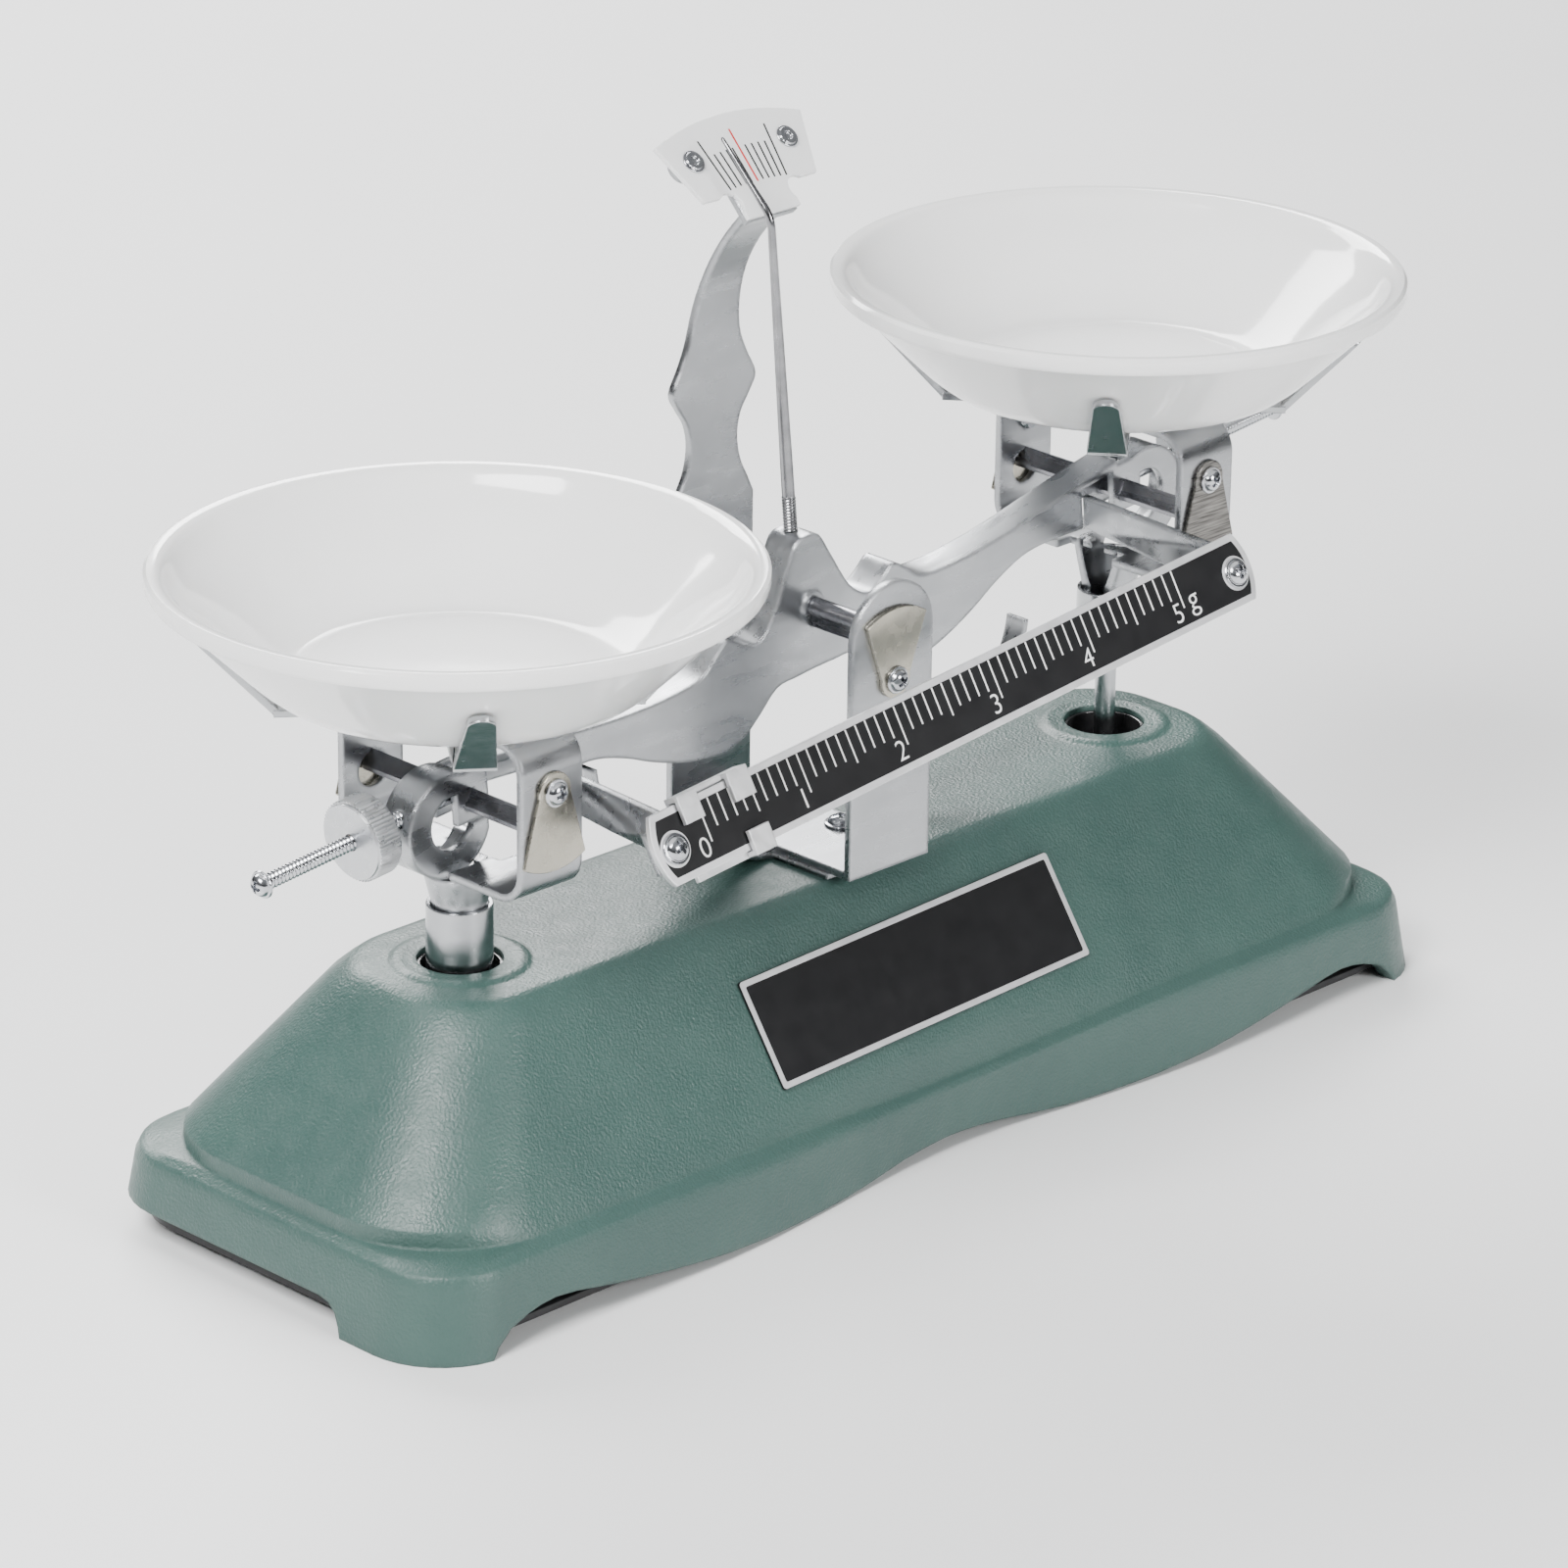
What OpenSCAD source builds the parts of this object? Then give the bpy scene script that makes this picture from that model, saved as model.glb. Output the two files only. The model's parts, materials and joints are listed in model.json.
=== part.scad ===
// Equal arm balance scale with two loose pans, a side ruler with a sliding rider
// and a pointer that reads against a small dial.
// Units are millimetres, +Z is up, X runs along the beam, -Y is the front.
// The origin is on the table under the centre of the base.

/* [Base] */
// Height of the flat deck above the table
deck_z = 42.5; // [36:0.5:55]
// Half length of the lower skirt at the table
skirt_l = 112.6; // [95:0.1:130]
// Half width of the lower skirt at the table
skirt_w = 39.6; // [30:0.1:50]
// Height of the ledge above the skirt
ledge_z = 13.8; // [10:0.1:18]
// Half length of the deck
body_l = 86; // [80:0.1:92]
// Half width of the deck
body_w = 17; // [15:0.1:20]
// Wall thickness of the housing
wall = 2.4; // [1.8:0.1:3]
// Radius of the two deck holes for the stems
deck_hole_r = 6.6; // [6.4:0.1:8]

/* [Beam] */
// Distance from the centre edge to each end edge
arm = 71.8; // [60:0.1:80]
// Height of the centre knife edge above the table
pivot_z = 78.3; // [72:0.1:90]
// Swing of the beam to each side of level, left side down at rest
tilt = 5.7; // [2:0.1:6]
// Depth of the folded beam section
beam_d = 6; // [5:0.1:8]
// Sheet thickness of the beam
beam_t = 1.2; // [0.8:0.1:2]

/* [Ruler and rider] */
// Length of one gram on the ruler
gram = 20.8; // [15:0.1:22]
// Height of the ruler face
ruler_h = 11.1; // [9:0.1:14]
// Lean of the ruler face from vertical
ruler_lean = 26.7; // [0:0.1:40]

/* [Pans] */
// Outer radius of each pan at the lip
pan_r = 46; // [38:0.5:50]
// Depth of each pan
pan_h = 18.8; // [15:0.1:28]

/* [Stirrups] */
// Width of the stirrup strap along the beam
strap_w = 12; // [9:0.1:14]
// Half gap between the two cheeks of a stirrup
cheek_y = 19; // [16:0.1:22]
// Turn of the left pan carrier about the vertical
yaw_left = 7.5; // [-15:0.5:15]
// Turn of the right pan carrier about the vertical
yaw_right = -5; // [-15:0.5:15]

/* [Centre bracket] */
// Width of the bracket sheet
post_w = 17.3; // [14:0.1:20]
// Sheet thickness of the bracket
post_t = 1.3; // [1:0.1:2]
// Half gap between the two posts
post_y = 19; // [17:0.1:22]
// Lean of the dial from vertical
dial_lean = 43.7; // [20:0.1:60]

/* [Hidden] */
$fn = 48;
eps = 0.01;
face_tan = 0.66;
end_tan = 0.87;
foot_l = body_l + (deck_z - ledge_z) * end_tan;
foot_w = body_w + (deck_z - ledge_z) * face_tan;
drop_x = arm * (1 - cos(tilt));
drop_z = arm * sin(tilt);
link_z = 24;
link_drop = pivot_z - link_z;
stem_r = 1.7;
ferrule_r = 5.1;
screw_r = 1.25;
rod_z = -1.5;
nut_x = 88.8;
nut_t = 4.8;
ruler_y = -36.2;
ruler_z = -9.93 + 0.3 * cos(ruler_lean);
ruler_c = 1.4;
ruler_half = 65.6;
ruler_screw = 61.8;
ruler_t = 1;
zero_x = -53.6;
pan_z = 15.8;
dial_y = 10;
dial_z = 147;
plate_z = 1.5;
plate_screw_x = 104.5;
end_lift = 5;
plate_turn = 1.6;

// ---------- shared helpers ----------

function bell(x, w) = abs(x) < w ? 0.5 + 0.5 * cos(180 * x / w) : 0;

// closed outline of a rounded rectangle whose long sides are drawn in by a waist
function outline(l, w, r, waist, nc = 9, ns = 18, ne = 4) = concat(
    [for (i = [0 : nc]) [l - r + r * cos(90 * i / nc), w - r + r * sin(90 * i / nc)]],
    [for (i = [1 : ns - 1]) let (x = (l - r) * (1 - 2 * i / ns)) [x, w - waist * bell(x, 60)]],
    [for (i = [0 : nc]) [-l + r - r * sin(90 * i / nc), w - r + r * cos(90 * i / nc)]],
    [for (i = [1 : ne - 1]) [-l, (w - r) * (1 - 2 * i / ne)]],
    [for (i = [0 : nc]) [-l + r - r * cos(90 * i / nc), -w + r - r * sin(90 * i / nc)]],
    [for (i = [1 : ns - 1]) let (x = (l - r) * (2 * i / ns - 1)) [x, -w + waist * bell(x, 60)]],
    [for (i = [0 : nc]) [l - r + r * sin(90 * i / nc), -w + r - r * cos(90 * i / nc)]],
    [for (i = [1 : ne - 1]) [l, (w - r) * (2 * i / ne - 1)]]
);

// one ring of the loft, dip lowers the long sides near the middle
function ring(l, w, r, waist, z, dip = 0) =
    [for (p = outline(l, w, r, waist)) [p[0], p[1], z - dip * bell(p[0], 60)]];

module loft(rings) {
    n = len(rings[0]);
    m = len(rings);
    pts = concat([for (k = rings) each k], [[0, 0, rings[0][0][2]], [0, 0, rings[m - 1][0][2]]]);
    sides = [for (j = [0 : m - 2]) for (i = [0 : n - 1])
        each [[j * n + i, (j + 1) * n + i, (j + 1) * n + (i + 1) % n],
              [j * n + i, (j + 1) * n + (i + 1) % n, j * n + (i + 1) % n]]];
    bottom = [for (i = [0 : n - 1]) [m * n, i, (i + 1) % n]];
    top = [for (i = [0 : n - 1]) [m * n + 1, (m - 1) * n + (i + 1) % n, (m - 1) * n + i]];
    polyhedron(points = pts, faces = concat(bottom, top, sides), convexity = 6);
}

// smooth curve through a short list of points
function mix4(a, b, c, d, t) = 0.5 * ((2 * b) + (c - a) * t
    + (2 * a - 5 * b + 4 * c - d) * t * t + (3 * b - a - 3 * c + d) * t * t * t);
function curve(p, n) = [for (i = [0 : len(p) - 2]) for (k = [0 : n - 1])
    mix4(p[max(i - 1, 0)], p[i], p[i + 1], p[min(i + 2, len(p) - 1)], k / n)];
function flip(p) = [for (i = [len(p) - 1 : -1 : 0]) [-p[i][0], p[i][1]]];
function reversed(p) = [for (i = [len(p) - 1 : -1 : 0]) p[i]];

// rounded rectangle centred on the origin
module rounded(w, h, r) {
    square([w - 2 * r, h], center = true);
    square([w, h - 2 * r], center = true);
    for (sx = [-1, 1]) {
        for (sy = [-1, 1]) {
            translate([sx * (w / 2 - r), sy * (h / 2 - r)]) circle(r);
        }
    }
}

// fan shaped cover plate outline: small round end at the screw, wide arc end
module fan(r_small, r_big, half_angle) {
    circle(r_small);
    intersection() {
        circle(r_big);
        polygon([
            [-r_small * cos(half_angle), 0],
            [-r_small * cos(half_angle) - 20 * sin(half_angle), 20 * cos(half_angle)],
            [r_small * cos(half_angle) + 20 * sin(half_angle), 20 * cos(half_angle)],
            [r_small * cos(half_angle), 0]
        ]);
    }
}

// draws a flat outline upright in the XZ plane, its thickness running to +Y
module upright(t) {
    rotate([90, 0, 0]) translate([0, 0, -t]) linear_extrude(t) children();
}

// pan head screw along +Z, head on top of the plane z = 0
module pan_screw(r, head_r, head_h, len) {
    difference() {
        intersection() {
            cylinder(r = head_r, h = head_h);
            translate([0, 0, head_h - head_r * 1.5]) sphere(r = head_r * 1.5);
        }
        for (a = [0, 90]) {
            rotate([0, 0, a]) translate([0, 0, head_h])
                cube([head_r * 1.15, head_r * 0.28, head_h], center = true);
        }
    }
    translate([0, 0, -len]) cylinder(r = r, h = len + eps);
}

module in_beam() {
    translate([0, 0, pivot_z]) rotate([0, -tilt, 0]) children();
}

// side = -1 for the left stirrup and 1 for the right one
module in_stirrup(side) {
    translate([side * (arm - drop_x), 0, pivot_z + side * drop_z]) children();
}

module in_link() {
    translate([0, 0, link_z]) rotate([0, -tilt, 0]) children();
}

// ruler frame: x along the ruler, y up its face, z out of the face
module in_ruler() {
    in_beam() translate([ruler_c, ruler_y, ruler_z]) rotate([90 - ruler_lean, 0, 0]) children();
}

// dial frame: x across the dial, y up its face, z out of the face
module in_dial() {
    translate([0, dial_y, dial_z]) rotate([90 - dial_lean, 0, 0]) children();
}

// ---------- base ----------

module base_solid() {
    loft([
        ring(skirt_l, skirt_w, 14, 4.8, 0),
        ring(skirt_l - 1.9, skirt_w - 1.6, 13, 3.2, ledge_z - 2.4, 2.5),
        ring(skirt_l - 2.6, skirt_w - 2.3, 12.5, 2.5, ledge_z - 0.8, 2.5),
        ring(skirt_l - 3.8, skirt_w - 3.5, 12, 1.8, ledge_z, 2.5),
        ring(min(foot_l, skirt_l - 4.4), foot_w - 0.8, 22, 1.9, ledge_z + 0.5, 2.5),
        ring(body_l + (deck_z - 17) * end_tan, body_w + (deck_z - 17) * face_tan, 20, 1.4, 17, 1),
        ring(body_l + (deck_z - 20.4) * end_tan, body_w + (deck_z - 20.4) * face_tan, 19, 0, 20.4),
        ring(body_l + 3.2 * end_tan, body_w + 3.2 * face_tan, 14, 0, deck_z - 3.2),
        ring(body_l + 0.6, body_w, 13, 0, deck_z - 1.1),
        ring(body_l - 0.6, body_w - 1.1, 12.2, 0, deck_z - 0.25),
        ring(body_l - 2, body_w - 2.4, 11.2, 0, deck_z)
    ]);
}

module base_hollow() {
    loft([
        ring(skirt_l - 3, skirt_w - 3, 11, 4.8, -1),
        ring(skirt_l - 5.4, skirt_w - 5.2, 10, 3, ledge_z - 3, 2.5),
        ring(foot_l - 4.4, foot_w - wall - 1.1, 19, 2.2, ledge_z - 0.5, 2.5),
        ring(body_l + 4 * end_tan - wall - 0.4, body_w + 4 * face_tan - wall, 11, 0, deck_z - 4),
        ring(body_l - 2.4, body_w - 3.4, 10, 0, deck_z - wall)
    ]);
}

// raised edge of the front skirt between the two front corner feet
module front_arch() {
    half = concat(
        [for (x = [0 : 3 : 30]) [x, 0.5 + 2.1 * bell(x, 28)]],
        [for (x = [36 : 4 : 84]) [x, 0.5 + 5.3 * pow((x - 30) / 56, 2)]],
        [[88, 5.8], [91, 5.6], [93.6, 5.1], [97.5, 3.8], [100, 1.7], [101.4, -0.5]]);
    translate([0, -50, 0]) upright(50) polygon(concat([[-101.4, -2]], flip(half), half, [[101.4, -2]]));
}

// raised edge of the back skirt, its two feet stand clear of the corners
module back_arch() {
    half = [for (x = [0 : 4 : 76]) [x, x > 64 ? 4 * (0.5 + 0.5 * cos(180 * (x - 64) / 12)) :
        2.4 + 1.6 * pow(x / 64, 2)]];
    upright(50) polygon(concat([[-77, -2]], flip(half), half, [[77, -2]]));
}

// raised edge of each end, it runs from the front foot round the back corner
module end_arch() {
    rotate([0, 0, 90]) translate([0, -130, 0]) upright(260)
        polygon([[-18.8, -2], [-18.4, 0], [-17.8, 1.6], [-16.8, 3.4], [-15.2, 4.6], [-13, end_lift],
            [50, end_lift], [50, -2]]);
}

module corner_arch() {
    top = [for (x = [90 : 2 : 102]) [x, end_lift * (0.5 - 0.5 * cos(15 * (x - 90)))]];
    translate([0, 18, 0]) upright(40) polygon(concat([[89.5, -2]], top, [[120, end_lift], [120, -2]]));
}

// soft raised ring round each deck hole
module deck_ring() {
    polygon(concat([[0, -1], [11.4, -1]],
        curve([[11.4, -0.2], [10.8, 0.1], [10.1, 0.46], [9.2, 0.6], [8.2, 0.5], [6, 0.4]], 3), [[0, 0.4]]));
}

module base_housing() {
    color([0.2, 0.38, 0.34]) difference() {
        union() {
            difference() {
                base_solid();
                base_hollow();
            }
            for (s = [-1, 1]) {
                translate([s * 71.4, 0, deck_z]) rotate_extrude() deck_ring();
                translate([s * plate_screw_x, -s * 8, plate_z + 1.25]) cylinder(r = 3, h = 14.4);
            }
        }
        front_arch();
        back_arch();
        intersection() {
            end_arch();
            translate([0, -4, 0]) cube([300, 44, 60], center = true);
        }
        corner_arch();
        mirror([1, 0, 0]) corner_arch();
        for (s = [-1, 1]) {
            translate([s * 71.4, 0, deck_z - 8]) cylinder(r = deck_hole_r, h = 12);
            translate([s * plate_screw_x, -s * 8, 0]) cylinder(r = 1.5, h = 11);
            translate([s * 4.8, -s * 5, deck_z - 5]) cylinder(r = screw_r + 0.05, h = 8);
        }
    }
}

module bottom_plate() {
    color([0.04, 0.04, 0.045]) difference() {
        translate([0, 0, plate_z]) linear_extrude(1.2)
            polygon(outline(skirt_l - 4.1, skirt_w - 4.1, 10.2, 5));
        for (s = [-1, 1]) {
            translate([s * plate_screw_x, -s * 8, 0]) cylinder(r = 1.5, h = 6);
            translate([s * 7.5, 0, 0]) cylinder(r = 1.5, h = 6);
        }
    }
}

module bottom_plate_screws() {
    color([0.75, 0.75, 0.76]) for (s = [-1, 1]) {
        translate([s * plate_screw_x, -s * 8, plate_z]) rotate([180, 0, 0]) pan_screw(1.45, 2.6, 1.3, 8);
    }
}

module hole_liners() {
    color([0.03, 0.03, 0.03]) for (s = [-1, 1]) {
        translate([s * 71.4, 0, deck_z - 7.5]) difference() {
            cylinder(r = deck_hole_r - 0.02, h = 7.2);
            translate([0, 0, -1]) cylinder(r = deck_hole_r - 0.7, h = 12);
        }
    }
}

module nameplate() {
    color([0.05, 0.05, 0.05]) translate([0, -body_w - 7 * face_tan, deck_z - 7])
        rotate([90 - atan(face_tan), 0, 0]) translate([0, -8.9, 0.06]) rotate([0, 0, plate_turn])
            linear_extrude(0.4) rounded(69.6, 17.8, 0.6);
}

module link_bracket() {
    color([0.72, 0.73, 0.74]) difference() {
        union() {
            translate([-11, -4.9, plate_z + 1.2]) cube([22, 9.8, 1.2]);
            for (s = [-1, 1]) {
                translate([0, s * 4.3 - 0.6, plate_z + 1.2]) upright(1.2) {
                    translate([-5, 0]) square([10, link_z - plate_z - 1.2]);
                    translate([0, link_z - plate_z - 1.2]) circle(5);
                }
            }
        }
        translate([0, 10, link_z]) rotate([90, 0, 0]) cylinder(r = 1.48, h = 20);
        for (s = [-1, 1]) {
            translate([s * 7.5, 0, 0]) cylinder(r = 1.3, h = 8);
        }
    }
}

module link_bracket_screws() {
    color([0.75, 0.75, 0.76]) for (s = [-1, 1]) {
        translate([s * 7.5, 0, plate_z + 2.4]) pan_screw(1.25, 2.2, 1.4, 2.9);
    }
}

module link_axle() {
    color([0.7, 0.7, 0.72]) translate([0, 5.6, link_z]) rotate([90, 0, 0]) cylinder(r = 1.48, h = 11.2);
}

// ---------- centre bracket and dial ----------

// keyhole for the centre knife: the edge rests in the V at the bottom
module centre_keyhole() {
    translate([0, 3.7]) circle(2.6);
    polygon([[0, -0.04], [2.55, 3.1], [2.55, 3.8], [-2.55, 3.8], [-2.55, 3.1]]);
}

module front_post() {
    translate([0, -post_y - post_t, 0]) difference() {
        upright(post_t) {
            translate([-post_w / 2, deck_z + 0.8]) square([post_w, 90.4 - post_w / 2 - deck_z - 0.8]);
            translate([0, 90.4 - post_w / 2]) circle(post_w / 2);
        }
        translate([0, -1, 0]) upright(4) {
            translate([0, pivot_z]) centre_keyhole();
            translate([0, 74.6]) circle(screw_r + 0.04);
        }
    }
}

back_edge = [[8.65, 93], [7.4, 95.6], [5.7, 99], [5.0, 103], [5.7, 106.6], [7.6, 109.6], [8.9, 112.4],
    [6.9, 116.4], [5.3, 120.5], [4.3, 127.5], [3.8, 134], [3.9, 140], [4.8, 144]];

// the back post bends forward in an arc towards the dial
bend_z = 119;
bend_r = 30.1;
bend_end = 52;

module bent_sheet() {
    steps = [0 : 4 : bend_end];
    rotate([90, 0, 90]) translate([0, 0, -12]) linear_extrude(24) polygon(concat(
        [[post_y, deck_z + 0.8]],
        [for (a = steps) [post_y - bend_r + bend_r * cos(a), bend_z + bend_r * sin(a)]],
        [for (a = [bend_end : -4 : 0])
            [post_y - bend_r + (bend_r + post_t) * cos(a), bend_z + (bend_r + post_t) * sin(a)]],
        [[post_y + post_t, deck_z + 0.8]]
    ));
}

module back_post() {
    side = concat([[8.65, deck_z + 0.8]], curve(back_edge, 4), [[4.8, 144]]);
    difference() {
        intersection() {
            bent_sheet();
            upright(30) polygon(concat(side, flip(side)));
        }
        translate([0, post_y - 1, 0]) upright(4) {
            translate([0, pivot_z]) centre_keyhole();
            translate([0, 74.6]) circle(screw_r + 0.04);
        }
    }
}

module dial_tab() {
    in_dial() translate([0, 0, -0.82 - post_t]) difference() {
        linear_extrude(post_t) {
            translate([-5.2, -5.6]) square([10.4, 9]);
            translate([0, 5.8]) square([22.4, 4.6], center = true);
            for (s = [-1, 1]) {
                translate([s * 11.2, 5.8]) circle(2.3);
            }
            translate([-7, 2]) square([14, 4]);
        }
        for (s = [-1, 1]) {
            translate([s * 10, 5.8, -1]) cylinder(r = 1.02, h = 4);
        }
    }
}

module centre_bracket() {
    color([0.74, 0.75, 0.76]) {
        front_post();
        back_post();
        dial_tab();
        difference() {
            translate([-post_w / 2, -post_y - post_t, deck_z + 0.8])
                cube([post_w, 2 * post_y + 2 * post_t, post_t]);
            for (s = [-1, 1]) {
                translate([s * 4.8, -s * 5, deck_z]) cylinder(r = screw_r + 0.05, h = 5);
            }
        }
    }
}

module bracket_screws() {
    color([0.78, 0.78, 0.79]) for (s = [-1, 1]) {
        translate([s * 4.8, -s * 5, deck_z + 0.8 + post_t]) pan_screw(screw_r, 2.6, 1.7, 7);
    }
}

// thin plate under the bracket with two sprung arms that catch the beam
module stop_plate() {
    path = curve([[9, 0.4], [14, 1.6], [22, 5.6], [33, 11.4], [41, 15.6], [45, 18.6], [46.6, 22.2],
        [47.2, 25.4]], 4);
    n = len(path);
    under = [for (i = [0 : n - 1]) let (a = path[max(i - 1, 0)], b = path[min(i + 1, n - 1)], d = b - a)
        path[i] + 0.8 * [d[1], -d[0]] / norm(d)];
    color([0.7, 0.71, 0.72]) difference() {
        union() {
            translate([-post_w / 2 - 0.5, -16, deck_z]) cube([post_w + 1, 32, 0.8]);
            for (s = [0, 1]) {
                mirror([s, 0, 0]) translate([0, -4.2, deck_z + 0.4]) upright(4)
                    polygon(concat(path, reversed(under)));
            }
        }
        for (s = [-1, 1]) {
            translate([s * 4.8, -s * 5, deck_z - 1]) cylinder(r = screw_r + 0.05, h = 5);
        }
    }
}

module post_cover(side) {
    color([0.8, 0.79, 0.72]) translate([0, side * (post_y + post_t) + (side < 0 ? -0.8 : 0), 74.6])
        difference() {
            upright(0.8) fan(3, 11.7, 20);
            translate([0, -1, 0]) upright(4) circle(screw_r + 0.04);
        }
}

module front_post_cover() {
    post_cover(-1);
}

module back_post_cover() {
    post_cover(1);
}

module post_cover_screws() {
    color([0.8, 0.8, 0.8]) for (s = [-1, 1]) {
        translate([0, s * (post_y + post_t + 0.8), 74.6]) rotate([-90 * s, 0, 0])
            pan_screw(screw_r, 2.2, 1.7, 3.4);
    }
}

module dial_plate() {
    arc = [for (a = [-20 : 4 : 20]) [45.4 * sin(a), 45.4 * cos(a) - 33.1]];
    color([0.95, 0.95, 0.94]) in_dial() translate([0, 0, -0.8]) difference() {
        linear_extrude(0.8) difference() {
            polygon(concat([[-12, -1]], arc, [[12, -1], [5.6, -1], [5.6, -5.4], [-5.6, -5.4], [-5.6, -1]]));
            for (s = [-1, 1]) {
                translate([s * 7.2, -2.6]) circle(2.1);
            }
        }
        for (s = [-1, 1]) {
            translate([s * 10, 5.8, -1]) cylinder(r = 1.02, h = 4);
        }
    }
}

module dial_rivets() {
    color([0.8, 0.8, 0.8]) in_dial() for (s = [-1, 1]) {
        translate([s * 10, 5.8, 0]) difference() {
            union() {
                translate([0, 0, -2.1]) cylinder(r = 1, h = 2.2);
                cylinder(r = 1.9, h = 0.35);
                translate([0, 0, 0.35]) cylinder(r = 1.5, h = 0.3);
            }
            translate([0, 0, 0.2]) cylinder(r = 0.7, h = 1);
        }
    }
}

module dial_stroke(a, v0, v1, w) {
    rotate([0, 0, -a]) translate([-w / 2, v0 + 48, 0]) cube([w, v1 - v0, 0.06]);
}

module dial_marks() {
    color([0.05, 0.05, 0.05]) in_dial() translate([0, -48, 0.01]) {
        for (i = [1 : 4]) {
            dial_stroke(i * 1.42, 0.2, 6.4, 0.28);
            dial_stroke(-i * 1.42, 0.2, 6.4, 0.28);
        }
        dial_stroke(7.1, 0.2, 9.3, 0.28);
        dial_stroke(-7.1, 0.2, 9.3, 0.28);
    }
}

module dial_zero() {
    color([0.8, 0.1, 0.1]) in_dial() translate([0, -48, 0.01]) dial_stroke(0, 0.1, 9.5, 0.3);
}

// ---------- beam ----------

beam_top = [[0, 15.4], [2.4, 14.8], [4.8, 10.6], [8.4, 4.2], [12.4, 1.3], [15.6, 2.6], [18.2, 4.3],
    [20.8, 2.7], [24.2, 0.1], [30, -0.5], [38, -0.3], [47, 0.6], [56, 1.9], [64, 3], [70, 3.7]];
beam_low = [[0, -7], [4, -7.1], [8.4, -7.4], [12.6, -10.6], [16.4, -13.1], [21, -13.8], [26, -13.1],
    [31, -11.6], [36, -9.5], [41, -7], [47, -4.9], [53, -4.5], [60, -5]];
top_pts = concat(curve(beam_top, 4), [[70, 3.7]]);
low_pts = concat(curve(beam_low, 4), [[60, -5]]);

module beam_front_outline() {
    half = concat(top_pts, [[70, 2.4], [61.4, 1.5], [61.4, -5]], reversed(low_pts));
    polygon(half);
    mirror([1, 0]) polygon(half);
}

module fold_outline() {
    under = [for (p = top_pts) p - [0, beam_t]];
    half = concat(top_pts, reversed(under));
    polygon(half);
    mirror([1, 0]) polygon(half);
}

module back_flange_outline() {
    under = [for (p = top_pts) [p[0], max(p[1] - 6.2, -7)]];
    half = concat(top_pts, reversed(under));
    polygon(half);
    mirror([1, 0]) polygon(half);
}

// strip that curls around the outer end of the beam
module hook_outline() {
    difference() {
        translate([76.8, -4.5]) circle(8.2);
        translate([76.8, -4.5]) circle(8.2 - beam_t);
        translate([60, -13]) square([9.2, 30]);
        translate([66, -8.5]) square([8, 11]);
    }
}

// knife passage of the end edges, seen from the front
module end_knife_outline(g = 0) {
    polygon([[0, g], [1.6 + g, -2.4], [1.6 + g, -3.2 - g], [-1.6 - g, -3.2 - g], [-1.6 - g, -2.4]]);
}

module centre_knife_outline(g = 0) {
    translate([0, 3.7]) circle(1.5 + g);
    polygon([[0, 0], [1.42 + g, 3.2], [-1.42 - g, 3.2]]);
}

// front web of the hook, a ring that stays open round the end edge
module hook_web() {
    difference() {
        translate([76.8, -4.5]) circle(8.2);
        translate([76.2, -4.2]) circle(4.3);
        translate([60, -13]) square([9.2, 30]);
        translate([68, -5.6]) square([7, 8.1]);
    }
}

module beam_body() {
    color([0.75, 0.76, 0.77]) in_beam() difference() {
        union() {
            translate([0, -beam_d / 2, 0]) upright(beam_t) beam_front_outline();
            translate([0, -beam_d / 2, 0]) upright(beam_d) fold_outline();
            translate([0, beam_d / 2 - beam_t, 0]) upright(beam_t) back_flange_outline();
            translate([0, -beam_d / 2 - 0.7, 3.7]) rotate([-90, 0, 0]) cylinder(r = 2.3, h = 0.8);
            translate([0, 0.6, 10]) cylinder(r = 1.9, h = 4.6);
            for (s = [0, 1]) {
                mirror([s, 0, 0]) {
                    translate([0, -beam_d / 2, 0]) upright(beam_d) hook_outline();
                    translate([0, -beam_d / 2, 0]) upright(beam_t) hook_web();
                    translate([68.8, -beam_d / 2, -5.2]) cube([6.4, beam_t, 8.2]);
                    translate([68.8, beam_d / 2 - beam_t, -5.2]) cube([6.4, beam_t, 8.2]);
                }
            }
        }
        translate([0, -5, 0]) upright(10) centre_knife_outline(0.02);
        for (s = [-1, 1]) {
            translate([s * arm, -5, 0]) upright(10) end_knife_outline(0.02);
            translate([s * 80, 0, rod_z]) rotate([0, 90, 0]) cylinder(r = 1.24, h = 16, center = true);
        }
        translate([0, 0.6, 9]) cylinder(r = 1.1, h = 8);
    }
}

module centre_knife() {
    color([0.66, 0.67, 0.69]) in_beam() translate([0, -post_y - post_t + 0.1, 0])
        upright(2 * (post_y + post_t) - 0.2) centre_knife_outline();
}

module end_knives() {
    color([0.55, 0.56, 0.58]) in_beam() for (s = [-1, 1]) {
        translate([s * arm, -cheek_y - 1.1, 0]) upright(2 * cheek_y + 2.2) end_knife_outline();
    }
}

module pointer() {
    lift = 145.1 - pivot_z;
    color([0.7, 0.7, 0.71]) in_beam() translate([0, 0.6, 0]) {
        translate([0, 0, 11]) cylinder(r = 1.08, h = 8.6);
        translate([0, 0, 18]) cylinder(r1 = 1.06, r2 = 0.6, h = lift - 18);
        translate([0, 0, lift]) sphere(r = 0.64);
        translate([0, 0, lift]) rotate([-42, 0, 0]) cylinder(r1 = 0.58, r2 = 0.25, h = 14.6);
    }
}

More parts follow.
